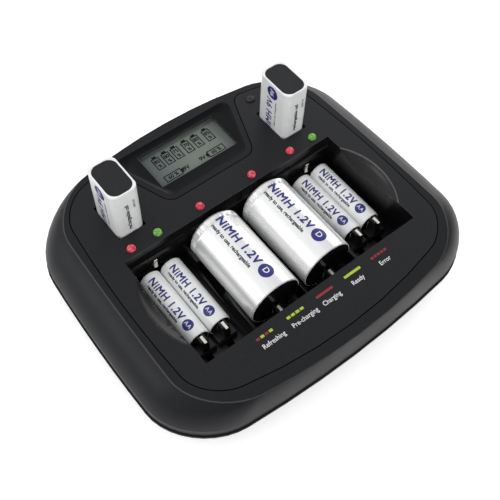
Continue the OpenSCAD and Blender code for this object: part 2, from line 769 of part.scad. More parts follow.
// Slider of one lane, held in its floor slot by a keeper below the floor
module contact_slider(i) {
    nose_l = 3;
    nose_drop = 5;
    notch_w = tab_w + 2 * run_gap;
    stem_y = -slider_l / 2;
    slope = 1;
    color("#121315") translate([lane_x[i - 1], slider_back(i), floor_z]) {
        translate([-slider_w / 2, 0, 0]) rotate([90, 0, 90]) linear_extrude(slider_w)
            polygon([[-slider_l, run_gap], [0, run_gap], [0, carriage_h], [slope - slider_l, carriage_h],
                [-slider_l, carriage_h - slope]]);
        difference() {
            translate([-fin_t / 2, 0, 0]) rotate([90, 0, 90]) linear_extrude(fin_t)
                polygon([[slope - slider_l, carriage_h - slope], [0, carriage_h - slope], [0, slider_h],
                    [nose_l - slider_l, slider_h], [slope - slider_l, slider_h - nose_drop]]);
            translate([-notch_w / 2, -tab_in - run_gap, slider_h - nose_drop - run_gap])
                cube([notch_w, tab_in + run_gap + through, nose_drop + 2 * run_gap]);
        }
        box_on(0, stem_y, -tub_t - run_gap - through, [stem_w, stem_l, tub_t + 2 * run_gap + 2 * through]);
        box_on(0, stem_y, -tub_t - run_gap - keeper_t, [keeper_w, slider_l - 2 * run_gap, keeper_t]);
    }
}

// Negative contact: a strip on the slider's back face that rises to a bright tab on its top
module negative_contact(i) {
    pad_w = fin_t - 0.4;
    pad_foot = 2.5;
    pad_top = 9.6;
    color("#d8d9da") translate([lane_x[i - 1], slider_back(i), floor_z]) {
        box_on(0, strip_t / 2, pad_foot, [pad_w, strip_t, pad_top - pad_foot]);
        translate([-tab_w / 2, -tab_in, pad_top - strip_t]) cube([tab_w, tab_in + strip_t, strip_t]);
        translate([-tab_w / 2, -tab_in, pad_top - strip_t])
            cube([tab_w, strip_t, slider_h + strip_t - pad_top + strip_t]);
        translate([-tab_w / 2, -tab_in - tab_l + strip_t, slider_h]) cube([tab_w, tab_l, strip_t]);
    }
}

// A helical spring along Y from 0 to a length, as one swept polyhedron
function ring_at(p, across, up, sides) = [
    for (k = [0:sides - 1]) p + wire_d / 2 * (cos(360 * k / sides) * across + sin(360 * k / sides) * up)
];
module helix(length) {
    steps = 8;
    sides = 4;
    rings = spring_turns * steps;
    coil_r = (spring_d - wire_d) / 2;
    points = [
        for (j = [0:rings]) let (a = 360 * j / steps)
            each ring_at([coil_r * cos(a), mix(wire_d / 2, length - wire_d / 2, j / rings), coil_r * sin(a)],
                [cos(a), 0, sin(a)], [0, 1, 0], sides)
    ];
    side_faces = [
        for (j = [0:rings - 1], k = [0:sides - 1]) let (a = j * sides + k, b = j * sides + (k + 1) % sides)
            each [[a, b, b + sides], [a, b + sides, a + sides]]
    ];
    first = [for (k = [sides - 1:-1:0]) k];
    last = [for (k = [0:sides - 1]) rings * sides + k];
    polyhedron(points, concat(side_faces, [first, last]));
}

// Pull spring under the floor, from the deck's anchor to the slider's keeper
module slider_spring(i) {
    keeper_back = slider_back(i) - run_gap;
    gap = contact_gap;
    color("#b9bbbe") translate([lane_x[i - 1], keeper_back + gap, spring_z]) helix(anchor_y - keeper_back - 2 * gap);
}

// Positive contact of a slim lane: a plate on its boss, folded back over the top
module aa_contact(n) {
    x = lane_x[slim_lanes[n - 1] - 1];
    top = floor_z + aa_d / 2 + plus_h / 2;
    color("#d8d9da") {
        box_on(x, contact_y + strip_t / 2, top - plus_h, [plus_w, strip_t, plus_h]);
        box_on(x, contact_y + boss_l / 2, top, [plus_w, boss_l, strip_t]);
    }
}

// Positive contact of a large lane: a strip with two pressed ridges
module d_contact(n) {
    x = plus_large_x[n - 1];
    shared = n == 1 || n == 4;
    y = shared ? rail_y - strip_t : contact_y;
    foot = shared ? plus_large_z - plus_h / 2 : plus_large_z;
    ridge = 0.8 * strip_t;
    color("#d8d9da") {
        box_on(x, y + strip_t / 2, foot, [plus_w, strip_t, plus_h]);
        if (shared) for (z = [foot + ridge, foot + plus_h - ridge])
            translate([x - plus_w / 2 + ridge, y, z]) rotate([0, 90, 0]) cylinder(r = ridge, h = plus_w - 2 * ridge);
    }
}

// Mating snaps on a plate: a stud on one side and a ring on the other
module snaps(flip) {
    ring_in = stud_d + 2 * run_gap;
    translate([0, flip * snap_pitch / 2, 0]) cylinder(d = stud_d, h = snap_h);
    translate([0, -flip * snap_pitch / 2, 0]) difference() {
        cylinder(d = ring_in + 2 * ring_t, h = snap_h);
        translate([0, 0, -through]) cylinder(d = ring_in, h = snap_h + 2 * through);
    }
}

module snap_connector(side) {
    color("#cfd0d2") translate([side * well_x, well_y, snap_z]) {
        box_on(0, 0, -snap_plate_t, [block_w - 1, block_d - 1, snap_plate_t]);
        translate([0, 0, -through]) snaps(1);
        snaps(1);
    }
}

// Block cell, standing on its snaps with its recessed end plate upwards
module block_cell(side) {
    rim = 1;
    cap_r = block_r + 1.3;
    end_recess = 0.4;
    color("#e9eaec") translate([side * well_x, well_y, block_z]) {
        difference() {
            linear_extrude(block_h) round_rect(block_w, block_d, block_r);
            translate([0, 0, block_h - end_recess]) linear_extrude(end_recess + through)
                round_rect(block_w - 2 * rim, block_d - 2 * rim, cap_r);
        }
        rotate([180, 0, 0]) snaps(1);
    }
}

// Round cell along Y: negative end at 0, a crimped waist and a button at the positive end
module round_cell(dia, length, nub_d, nub_h, waist) {
    r = dia / 2;
    body = length - nub_h;
    edge = 0.06 * dia;
    fold = 0.6;
    crimp = body - 0.2 * dia;
    rim = r - 3 * fold;
    dip = 0.2;
    rotate([-90, 0, 0]) rotate_extrude()
        polygon([
            [0, 0], [rim - dip, 0], [rim, dip], [r - fold - dip, dip], [r - fold, 0], [r, fold],
            [r, crimp - 2 * waist], [r - waist, crimp], [r, crimp + 2 * waist],
            [r, body - edge], [r - edge, body], [nub_d / 2, body],
            [nub_d / 2, length - dip], [nub_d / 2 - dip, length], [0, length]
        ]);
}

module aa_cell(n) {
    i = slim_lanes[n - 1];
    color("#e9eaec") translate([lane_x[i - 1], cell_front(i), floor_z + cell_rest + aa_d / 2])
        round_cell(aa_d, aa_len, 5.4, 1.3, 0.1);
}

module d_cell(n) {
    i = large_lanes[n - 1];
    color("#cfd0d2") translate([lane_x[i - 1], cell_front(i), floor_z + cell_rest + d_d / 2])
        round_cell(d_d, d_len, 9, 1.6, 0.35);
}

module rubber_feet() {
    edge = 0.8;
    color("#141415") at_corners(foot_x, foot_y) rotate_extrude()
        polygon([[0, 0], [foot_d / 2 - edge, 0], [foot_d / 2, edge], [foot_d / 2, foot_h + foot_seat],
            [0, foot_h + foot_seat]]);
}

module case_screws() {
    head_d = 2 * screw_d;
    head_h = 1.8;
    color("#9a9ca0") at_corners(screw_x, screw_y) translate([0, 0, base_z + base_t - head_h]) difference() {
        union() {
            cylinder(d = head_d, h = head_h);
            cylinder(d = screw_d, h = head_h + screw_l);
        }
        translate([0, 0, -through]) cylinder(d = 1.6, h = 1 + through, $fn = 6);
    }
}

lower_housing();
upper_housing();
battery_deck();
lcd_window();
lcd_module();
display_board();
indicator_board();
main_board();
dc_inlet();
supply_capacitor();
supply_inductor();
refresh_button();
button_switch();
for (i = [1:6]) led(i);
for (i = [1:6]) contact_slider(i);
for (i = [1:6]) negative_contact(i);
for (i = [1:6]) slider_spring(i);
for (n = [1:4]) aa_contact(n);
for (n = [1:4]) d_contact(n);
snap_connector(-1);  // snap_connector_left
snap_connector(1);  // snap_connector_right
block_cell(-1);  // block_cell_left
block_cell(1);  // block_cell_right
for (n = [1:4]) aa_cell(n);
for (n = [1:2]) d_cell(n);
rubber_feet();
case_screws();
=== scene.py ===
# Universal battery charger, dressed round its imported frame: every length is in metres,
# X to the user's right, Y to the back and Z up from the table.
import json
import math

import bpy
from mathutils import Matrix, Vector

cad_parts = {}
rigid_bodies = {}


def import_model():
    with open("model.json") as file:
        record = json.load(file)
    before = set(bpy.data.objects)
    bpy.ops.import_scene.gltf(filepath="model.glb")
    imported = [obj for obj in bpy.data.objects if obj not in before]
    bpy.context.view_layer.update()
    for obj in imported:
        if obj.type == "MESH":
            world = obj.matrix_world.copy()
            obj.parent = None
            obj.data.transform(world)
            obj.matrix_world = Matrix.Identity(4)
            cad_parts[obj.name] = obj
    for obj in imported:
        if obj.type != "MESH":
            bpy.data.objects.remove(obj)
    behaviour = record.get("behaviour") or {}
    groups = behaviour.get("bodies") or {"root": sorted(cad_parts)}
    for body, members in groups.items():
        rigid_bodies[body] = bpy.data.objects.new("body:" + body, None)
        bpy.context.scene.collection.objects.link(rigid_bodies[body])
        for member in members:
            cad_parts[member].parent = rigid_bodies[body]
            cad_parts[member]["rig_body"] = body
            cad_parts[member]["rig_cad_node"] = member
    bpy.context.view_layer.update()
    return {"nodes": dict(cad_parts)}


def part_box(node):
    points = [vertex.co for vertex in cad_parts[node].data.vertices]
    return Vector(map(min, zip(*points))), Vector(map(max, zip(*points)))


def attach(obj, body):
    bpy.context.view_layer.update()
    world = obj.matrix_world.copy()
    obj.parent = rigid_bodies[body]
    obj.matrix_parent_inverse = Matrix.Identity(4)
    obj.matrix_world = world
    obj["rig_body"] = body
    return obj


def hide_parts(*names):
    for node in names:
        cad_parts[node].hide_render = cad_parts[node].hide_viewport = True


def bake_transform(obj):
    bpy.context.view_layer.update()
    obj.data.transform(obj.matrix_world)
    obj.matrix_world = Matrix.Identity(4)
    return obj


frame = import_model()
nodes = frame["nodes"]
bpy.context.scene.view_settings.view_transform = "Standard"


# Studio: a plain white table in a white tent whose walls shine more at the back left and low
# at the back right, with soft lamps overhead, at the left, in front and at the right corner.
# The camera looks down over the front left corner.
tent_plain, tent_dim = 0.8, 0.15
tent_walls = [((-0.6, 0.7, 0.4), -0.2, 0.9), ((0.7, 0.65, -0.1), 0.6, 0.88)]
table_size, table_drop = 6, 0.0002
table_white, table_rough = 0.88, 0.12
table_lift, table_in_shine = 0.45, 0.25
lamps = [
    ("overhead_lamp", (-0.15, 0.15, 0.95), (0, 0, 0), 0.7, 0.7, False),
    ("side_lamp", (-0.75, 0.4, 0.5), (0, 0, 0.04), 0.5, 1.2, True),
    ("front_lamp", (-0.25, -0.95, 0.6), (0, 0, 0.06), 1.2, 4.2, False),
    ("corner_lamp", (0.8, 0.45, 0.22), (0.05, 0, 0.03), 0.9, 3.5, True),
]
camera_lens, film_width = 55.36, 36
camera_place = (-0.162385, -0.186442, 0.413474)
camera_turn = (0.54865, -0.026161, -0.666918)


def deselect():
    bpy.ops.object.select_all(action="DESELECT")


def soft_lamp(name, place, aim, size, watts, in_shine):
    data = bpy.data.lights.new(name, "AREA")
    data.shape = "SQUARE"
    data.size = size
    data.energy = watts
    lamp = bpy.data.objects.new(name, data)
    lamp.location = place
    lamp.visible_glossy = in_shine
    across, back, up = [a - p for a, p in zip(aim, place)]
    lamp.rotation_euler = (math.atan2(math.hypot(across, back), -up), 0, math.atan2(-across, back))
    bpy.context.scene.collection.objects.link(lamp)


def larger(tree, first, second):
    node = tree.nodes.new("ShaderNodeMath")
    node.operation = "MAXIMUM"
    tree.links.new(first, node.inputs[0])
    tree.links.new(second, node.inputs[1])
    return node.outputs[0]


tent = bpy.data.worlds.new("white_tent")
bpy.context.scene.world = tent
tent.use_nodes = True
tree = tent.node_tree
rays = tree.nodes.new("ShaderNodeLightPath").outputs
facing = tree.nodes.new("ShaderNodeTexCoord").outputs["Generated"]
brightest = rays["Is Camera Ray"]
for toward, start, end in tent_walls:
    lean = tree.nodes.new("ShaderNodeVectorMath")
    lean.operation = "DOT_PRODUCT"
    lean.inputs[1].default_value = toward
    wall = tree.nodes.new("ShaderNodeMapRange")
    wall.inputs["From Min"].default_value = start
    wall.inputs["From Max"].default_value = end
    wall.inputs["To Min"].default_value = tent_dim
    tree.links.new(facing, lean.inputs[0])
    tree.links.new(lean.outputs["Value"], wall.inputs["Value"])
    brightest = larger(tree, wall.outputs["Result"], brightest)
seen = larger(tree, rays["Is Camera Ray"], rays["Is Glossy Ray"])
level = tree.nodes.new("ShaderNodeMapRange")
level.inputs["To Min"].default_value = tent_plain
backdrop = tree.nodes["Background"].inputs
backdrop["Color"].default_value = (1, 1, 1, 1)
tree.links.new(larger(tree, seen, rays["Is Transmission Ray"]), level.inputs["Value"])
tree.links.new(brightest, level.inputs["To Max"])
tree.links.new(level.outputs["Result"], backdrop["Strength"])

deselect()
bpy.ops.mesh.primitive_plane_add(size=table_size, location=(0, 0, -table_drop))
table_top = bpy.context.object
table_top.name = "table_top"
white_table = bpy.data.materials.new("white_table")
white_table.use_nodes = True
tree = white_table.node_tree
paint = tree.nodes["Principled BSDF"].inputs
paint["Base Color"].default_value = (table_white, table_white, table_white, 1)
paint["Roughness"].default_value = table_rough
paint["Emission Color"].default_value = (1, 1, 1, 1)
rays = tree.nodes.new("ShaderNodeLightPath").outputs
table_seen = tree.nodes.new("ShaderNodeMath")
table_seen.operation = "MULTIPLY_ADD"
table_seen.inputs[1].default_value = table_in_shine
table_glow = tree.nodes.new("ShaderNodeMapRange")
table_glow.inputs["To Max"].default_value = table_lift
tree.links.new(rays["Is Glossy Ray"], table_seen.inputs[0])
tree.links.new(rays["Is Camera Ray"], table_seen.inputs[2])
tree.links.new(table_seen.outputs[0], table_glow.inputs["Value"])
tree.links.new(table_glow.outputs["Result"], paint["Emission Strength"])
table_top.data.materials.append(white_table)

for lamp_settings in lamps:
    soft_lamp(*lamp_settings)

camera_data = bpy.data.cameras.new("camera")
camera_data.sensor_width = film_width
camera_data.lens = camera_lens
camera_data.clip_start = 0.01
camera = bpy.data.objects.new("camera", camera_data)
camera.location = camera_place
camera.rotation_euler = camera_turn
bpy.context.scene.collection.objects.link(camera)
bpy.context.scene.camera = camera


# Housings: two matt dark grey mouldings with a fine spark-eroded grain, joined at a seam line
# low on the skirt by screws from below. The crease of the upper one gets a thin lighter line as a
# painted highlight, and the dish round its display is coloured darker as painted shade.
housing_dark, housing_pale = (0.007, 0.0075, 0.009), (0.013, 0.0135, 0.016)
patch_size, patch_spread = 0.03, 0.04
weld = 0.000002
level_room = 0.00001
crease_w, crease_flattest, crease_steepest = 0.0004, 0.985, 0.05
dish_half_w, dish_front = 0.055, 0.03
dish_low, dish_high = 0.002, 0.0004


def shader(name):
    material = bpy.data.materials.new(name)
    material.use_nodes = True
    return material, material.node_tree, material.node_tree.nodes["Principled BSDF"].inputs


def link_noise(tree, grain, detail, stretch=(1, 1, 1)):
    place = tree.nodes.new("ShaderNodeTexCoord")
    spread = tree.nodes.new("ShaderNodeMapping")
    spread.inputs["Scale"].default_value = stretch
    noise = tree.nodes.new("ShaderNodeTexNoise")
    noise.inputs["Scale"].default_value = 1 / grain
    noise.inputs["Detail"].default_value = detail
    tree.links.new(place.outputs["Object"], spread.inputs["Vector"])
    tree.links.new(spread.outputs["Vector"], noise.inputs["Vector"])
    return noise.outputs["Fac"]


def link_range(tree, source, low, high, target, start=0.3, end=0.7):
    span = tree.nodes.new("ShaderNodeMapRange")
    span.inputs["From Min"].default_value = start
    span.inputs["From Max"].default_value = end
    span.inputs["To Min"].default_value = low
    span.inputs["To Max"].default_value = high
    tree.links.new(source, span.inputs["Value"])
    tree.links.new(span.outputs["Result"], target)


def ramp(tree, tones):
    node = tree.nodes.new("ShaderNodeValToRGB")
    stops = node.color_ramp.elements
    for k, (share, colour) in enumerate((tones[0], tones[-1])):
        stops[k].position = share
        stops[k].color = (*colour, 1)
    for share, colour in tones[1:-1]:
        stops.new(share).color = (*colour, 1)
    return node


def link_colours(tree, source, first, second, target, start=0.3, end=0.7):
    blend = ramp(tree, [(start, first), (end, second)])
    tree.links.new(source, blend.inputs["Fac"])
    tree.links.new(blend.outputs["Color"], target)


def link_bump(tree, source, strength, depth, target):
    bump = tree.nodes.new("ShaderNodeBump")
    bump.inputs["Strength"].default_value = strength
    bump.inputs["Distance"].default_value = depth
    tree.links.new(source, bump.inputs["Height"])
    tree.links.new(bump.outputs["Normal"], target)


def grained_plastic(name, dark, pale, rough, grain, depth, gloss):
    material, tree, paint = shader(name)
    paint["Specular IOR Level"].default_value = gloss
    spots = link_noise(tree, grain, 3)
    patches = link_noise(tree, patch_size, 2)
    link_colours(tree, spots, dark, pale, paint["Base Color"])
    link_range(tree, patches, rough - patch_spread, rough + patch_spread, paint["Roughness"])
    link_bump(tree, spots, 0.5, depth, paint["Normal"])
    return material


def work_on(piece):
    deselect()
    piece.select_set(True)
    bpy.context.view_layer.objects.active = piece


def even_faces(piece, degrees):
    bpy.ops.object.shade_smooth_by_angle(angle=math.radians(degrees))
    even = piece.modifiers.new("even_faces", "WEIGHTED_NORMAL")
    even.keep_sharp = True
    bpy.ops.object.modifier_apply(modifier=even.name)


def finished_copy(node, name, materials, degrees):
    piece = nodes[node].copy()
    piece.data = nodes[node].data.copy()
    piece.name = name
    piece.data.name = name
    bpy.context.scene.collection.objects.link(piece)
    work_on(piece)
    bpy.ops.object.mode_set(mode="EDIT")
    bpy.ops.mesh.select_all(action="SELECT")
    bpy.ops.mesh.remove_doubles(threshold=weld)
    bpy.ops.object.mode_set(mode="OBJECT")
    even_faces(piece, degrees)
    piece.data.materials.clear()
    for material in materials:
        piece.data.materials.append(material)
    body = nodes[node]["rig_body"]
    del piece["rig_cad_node"]
    piece.parent = None
    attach(piece, body)
    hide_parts(node)
    deselect()
    return piece


def pick_faces(piece, wanted):
    work_on(piece)
    bpy.ops.object.mode_set(mode="EDIT")
    bpy.ops.mesh.select_mode(type="FACE")
    bpy.ops.mesh.select_all(action="DESELECT")
    bpy.ops.object.mode_set(mode="OBJECT")
    for face in piece.data.polygons:
        face.select = wanted(face)
    bpy.ops.object.mode_set(mode="EDIT")


def soften_rim(piece, top, width, finish=-1, flattest=0.9, steepest=-1.0, skip=None):
    near_top = top - level_room
    mesh = piece.data
    pick_faces(piece, lambda face: face.center.z > near_top and face.normal.z > 0.999)
    bpy.ops.mesh.dissolve_limited(angle_limit=math.radians(0.5))
    bpy.ops.mesh.select_mode(type="EDGE")
    bpy.ops.mesh.select_all(action="DESELECT")
    bpy.ops.object.mode_set(mode="OBJECT")
    lifts = {}
    for face in mesh.polygons:
        for key in face.edge_keys:
            lifts.setdefault(key, []).append(face.normal.z)
    for edge in mesh.edges:
        level_edge = all(mesh.vertices[v].co.z > near_top for v in edge.vertices)
        sides = sorted(lifts.get(edge.key, []))
        edge.select = level_edge and len(sides) == 2 and steepest < sides[0] < flattest and sides[1] > 0.99
        if edge.select and skip:
            edge.select = not skip(mesh.vertices[edge.vertices[0]].co)
    bpy.ops.object.mode_set(mode="EDIT")
    bpy.ops.mesh.bevel(offset=width, segments=2, affect="EDGES", clamp_overlap=True, material=finish)
    bpy.ops.object.mode_set(mode="OBJECT")
    even_faces(piece, 40)
    deselect()


def in_dish(point):
    return abs(point.x) < dish_half_w and point.y > dish_front


housing_grain = grained_plastic("housing_grain", housing_dark, housing_pale, 0.38, 0.0006, 0.00004, 0.2)
# crease_edge: lighter grey for the crease bevel, a painted highlight
crease_edge = grained_plastic(
    "crease_edge", (0.03, 0.031, 0.033), (0.045, 0.046, 0.048), 0.35, 0.0008, 0.00001, 0.4
)
# dish_painted_shade: darker grey for the sunk dish round the display, painted shade
dish_painted_shade = grained_plastic(
    "dish_painted_shade", (0.003, 0.0033, 0.004), (0.006, 0.0063, 0.0075), 0.4, 0.0006, 0.00002, 0.12
)
crown_finishes = [housing_grain, crease_edge, dish_painted_shade]
crown = finished_copy("upper_housing", "upper_housing_moulding", crown_finishes, 15)
crown_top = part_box("upper_housing")[1].z
# The crease bevel outside the dish takes the lighter colour as a painted highlight
soften_rim(crown, crown_top, crease_w, 1, crease_flattest, crease_steepest, in_dish)
# Faces sunk in the dish take the darker colour as painted shade
for face in crown.data.polygons:
    sunk = crown_top - dish_low < face.center.z < crown_top - dish_high
    if sunk and face.normal.z > 0.5 and in_dish(face.center):
        face.material_index = 2
finished_copy("lower_housing", "lower_housing_moulding", [housing_grain], 20)


# Battery deck: one moulding let into the crown's ledge, with the same grain on its plate and a
# smooth glossy black inside the bay and the wells where the tool was polished. The finger scoops
# beside the bay are dished, and rim bevels facing the front or left get a lighter painted highlight.
deck_rim_w, plate_skin = 0.0004, 0.0005
scoop_wall, scoop_middle, scoop_half, scoop_reach, scoop_dip = 0.0753, -0.016, 0.0265, 0.009, 0.006
lit_left, lit_right, lit_front, lit_back = -0.0755, 0.094, -0.06, 0.0225


def hollow_scoop(piece, top, side):
    round_r = scoop_half ** 2 / 2 / scoop_reach + scoop_reach / 2
    rise = (scoop_half ** 2 - scoop_dip ** 2) / 2 / scoop_dip
    ball_r = math.hypot(round_r, rise)

    def in_scoop(face):
        slanted = 0.3 < face.normal.z < 0.97 and side * face.normal.x < -0.1
        beside = side * face.center.x > scoop_wall and abs(face.center.y - scoop_middle) < scoop_half
        return slanted and beside and top - scoop_dip < face.center.z < top

    pick_faces(piece, in_scoop)
    bpy.ops.mesh.subdivide(number_cuts=3)
    bpy.ops.object.mode_set(mode="OBJECT")
    for v in piece.data.vertices:
        along = v.co.y - scoop_middle
        if v.select and abs(along) < scoop_half:
            width = scoop_reach - round_r + math.sqrt(round_r ** 2 - along ** 2)
            edge_z = top + rise - math.sqrt(ball_r ** 2 - (round_r - scoop_reach) ** 2 - along ** 2)
            share = min(1, max(0, (side * v.co.x - scoop_wall) / max(width, 0.0001)))
            if share < 0.99:
                v.co.z = edge_z + (top - edge_z) * (0.5 * share + 0.5 * share ** 5)
    piece.data.update()
    deselect()


deck_grain = grained_plastic("deck_grain", housing_dark, housing_pale, 0.5, 0.0006, 0.00003, 0.25)
bay_black = grained_plastic(
    "bay_black", (0.003, 0.003, 0.0035), (0.005, 0.005, 0.006), 0.3, 0.002, 0.00001, 0.4
)
# rim_painted_highlight: light grey for the rim bevels, a painted highlight
rim_painted_highlight = grained_plastic("rim_painted_highlight", (0.1, 0.1, 0.1), (0.14, 0.14, 0.14), 0.35, 0.0008, 0.00001, 0.5)
deck_finishes = [bay_black, deck_grain, rim_painted_highlight]
deck = finished_copy("battery_deck", "battery_deck_moulding", deck_finishes, 20)
plate_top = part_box("battery_deck")[1].z
for side in (-1, 1):
    hollow_scoop(deck, plate_top, side)
soften_rim(deck, plate_top, deck_rim_w)
# Rim bevels by the bay that face the front or left take the light grey as a painted highlight
for face in deck.data.polygons:
    on_plate = face.center.z > plate_top - plate_skin
    by_bay = lit_left < face.center.x < lit_right and lit_front < face.center.y < lit_back
    leaning = face.normal.z < 0.97 and (face.normal.y < -0.2 or face.normal.x < -0.2)
    face.material_index = 2 if on_plate and by_bay and leaning else int(on_plate)


# Printed legend: pad-printed dashes in red and green with small white words below them,
# as thin layers of ink on the deck's front strip.
ink_t, bold_lift = 0.00002, 0.000002
deck_top = 0.04301
dash_y, dash_d, dash_share = -0.0605, 0.0016, 0.78
word_y, word_h, word_narrow = -0.066, 0.004, 0.88
legend = [
    ("refresh", -0.0469, -0.0354, "rgrg", "Refreshing", -0.0389),
    ("condition", -0.0261, -0.0138, "gggg", "Pre-charging", -0.0173),
    ("charge", -0.005, 0.0069, "r", "Charging", 0.0018),
    ("ready", 0.0156, 0.0275, "g", "Ready", 0.021),
    ("error", 0.0355, 0.0477, "rrrrr", "Error", 0.0416),
]


def ink(name, colour, rough):
    material, tree, paint = shader(name)
    worn = tuple(c * 0.85 for c in colour)
    link_colours(tree, link_noise(tree, 0.0012, 2), worn, colour, paint["Base Color"])
    paint["Roughness"].default_value = rough
    return material


def lettering(name, words, height, material, align="CENTER", weight=0.0, space=1.0):
    deselect()
    bpy.ops.object.text_add(location=(0, 0, 0))
    text = bpy.context.object.data
    text.body = words
    text.size = height
    text.align_x = align
    text.align_y = "CENTER"
    text.extrude = ink_t / 2
    text.space_character = space
    text.resolution_u = 3
    bpy.ops.object.convert(target="MESH")
    piece = bpy.context.object
    if weight:
        swell = weight * height
        bpy.ops.object.mode_set(mode="EDIT")
        bpy.ops.mesh.select_all(action="SELECT")
        for across, up in [(swell, swell), (0, -2 * swell), (-2 * swell, 0), (0, 2 * swell)]:
            bpy.ops.mesh.duplicate_move(TRANSFORM_OT_translate={"value": (across, up, bold_lift)})
        bpy.ops.object.mode_set(mode="OBJECT")
    piece.name = name
    piece.data.name = name
    piece.data.materials.clear()
    piece.data.materials.append(material)
    return piece


def dash(name, width, depth, material):
    deselect()
    bpy.ops.mesh.primitive_cube_add(size=1, location=(0, 0, 0))
    piece = bpy.context.object
    piece.name = name
    piece.data.name = name
    piece.scale = (width, depth, ink_t)
    bpy.ops.object.transform_apply(scale=True)
    bpy.ops.object.mode_set(mode="EDIT")
    bpy.ops.mesh.select_all(action="SELECT")
    bpy.ops.mesh.bevel(offset=min(width, depth) * 0.12, segments=2, affect="EDGES")
    bpy.ops.object.mode_set(mode="OBJECT")
    piece.data.materials.append(material)
    return piece


def settle(piece, matrix):
    piece.data.transform(matrix)
    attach(piece, "charger")


legend_inks = {
    "r": ink("legend_red", (0.27, 0.02, 0.03), 0.5),
    "g": ink("legend_green", (0.42, 0.55, 0.03), 0.5),
}
legend_white = ink("legend_white", (0.78, 0.78, 0.78), 0.5)
for label, first, last, pattern, word, middle in legend:
    step = (last - first) / len(pattern)
    width = step * (dash_share if len(pattern) > 1 else 1)
    for k, letter in enumerate(pattern):
        mark = dash(f"legend_{label}_dash_{k + 1}", width, dash_d, legend_inks[letter])
        settle(mark, Matrix.Translation((first + step * (k + 0.5), dash_y, deck_top)))
    text = lettering(f"legend_{label}_word", word, word_h, legend_white, weight=0.006)
    narrowed = Matrix.Translation((middle, word_y, deck_top)) @ Matrix.Diagonal((word_narrow, 1, 1, 1))
    settle(text, narrowed)


# Display: a grey-green reflective glass with dark segments under a clear flat window,
# held from below in the dished tongue of the upper housing. The glass has painted shade: darker
# at the left, near the right edge and along its back strip, which also stands for the unlit
# border, and lighter in the middle.
glass_half_w, glass_front, glass_back = 0.0285, 0.052, 0.0805
# Painted shade on the display glass, across X here and along Y below
glass_painted_shade_x = [
    (0.0, (0.085, 0.1, 0.105)),
    (0.16, (0.115, 0.135, 0.135)),
    (0.5, (0.17, 0.2, 0.175)),
    (0.86, (0.165, 0.19, 0.168)),
    (0.94, (0.12, 0.135, 0.13)),
    (1.0, (0.15, 0.165, 0.16)),
]
glass_painted_shade_y = [
    (0.0, (1, 1, 1)),
    (0.88, (0.85, 0.85, 0.85)),
    (0.91, (0.56, 0.53, 0.56)),
    (1.0, (0.55, 0.52, 0.55)),
]
pane_rim_w, pane_deep = 0.00025, 0.0022
lcd_top, cell_row, block_row = 0.03801, 0.0705, 0.0577
segment_w, nub_w, segment_bold = 0.0007, 0.003, 0.03
cell_marks = [(-0.0189, 85), (-0.0118, 80), (-0.0049, 75), (0.0031, 70), (0.0104, 80), (0.0189, 85)]
block_marks = [("left", -0.0167, -90, 0.0095), ("right", 0.0156, 90, -0.0105)]


def coat(node, material):
    nodes[node].data.materials.clear()
    nodes[node].data.materials.append(material)


def battery_mark(name, width, height):
    deselect()
    bpy.ops.mesh.primitive_plane_add(size=1, location=(0, 0, 0))
    piece = bpy.context.object
    piece.name = name
    piece.data.name = name
    piece.scale = (width, height, 1)
    bpy.ops.object.transform_apply(scale=True)
    bpy.ops.object.mode_set(mode="EDIT")
    bpy.ops.mesh.select_all(action="SELECT")
    bpy.ops.mesh.inset(thickness=segment_w)
    bpy.ops.mesh.delete(type="ONLY_FACE")
    bpy.ops.mesh.primitive_plane_add(size=1, location=(0, 0, 0))
    bpy.ops.transform.resize(value=(nub_w, segment_w * 2, 1))
    bpy.ops.transform.translate(value=(0, height / 2 + segment_w, 0))
    bpy.ops.mesh.select_all(action="SELECT")
    bpy.ops.mesh.extrude_region_move(TRANSFORM_OT_translate={"value": (0, 0, ink_t)})
    bpy.ops.mesh.select_all(action="SELECT")
    bpy.ops.mesh.normals_make_consistent(inside=False)
    bpy.ops.object.mode_set(mode="OBJECT")
    piece.data.materials.append(segment_dark)
    return piece


def segment_text(name, words, height, place):
    text = lettering(name, words, height, segment_dark, weight=segment_bold)
    settle(text, place)


# The display glass takes both painted-shade ramps, multiplied, as its colour
lcd_glass, tree, paint = shader("lcd_glass")
haze = link_noise(tree, 0.012, 2)
glass_place = tree.nodes.new("ShaderNodeTexCoord")
glass_axes = tree.nodes.new("ShaderNodeSeparateXYZ")
along = ramp(tree, glass_painted_shade_x)
across = ramp(tree, glass_painted_shade_y)
shade = tree.nodes.new("ShaderNodeMix")
shade.data_type = "RGBA"
shade.blend_type = "MULTIPLY"
shade.inputs["Factor"].default_value = 1
tree.links.new(glass_place.outputs["Object"], glass_axes.inputs["Vector"])
link_range(tree, glass_axes.outputs["X"], 0, 1, along.inputs["Fac"], -glass_half_w, glass_half_w)
link_range(tree, glass_axes.outputs["Y"], 0, 1, across.inputs["Fac"], glass_front, glass_back)
tree.links.new(along.outputs["Color"], shade.inputs["A"])
tree.links.new(across.outputs["Color"], shade.inputs["B"])
tree.links.new(shade.outputs["Result"], paint["Base Color"])
link_range(tree, haze, 0.32, 0.4, paint["Roughness"])
paint["Specular IOR Level"].default_value = 0.2
coat("lcd_module", lcd_glass)

clear_window, tree, paint = shader("clear_window")
paint["Base Color"].default_value = (0.3, 0.33, 0.32, 1)
paint["Alpha"].default_value = 0.02
link_range(tree, link_noise(tree, 0.015, 2), 0.04, 0.1, paint["Roughness"])
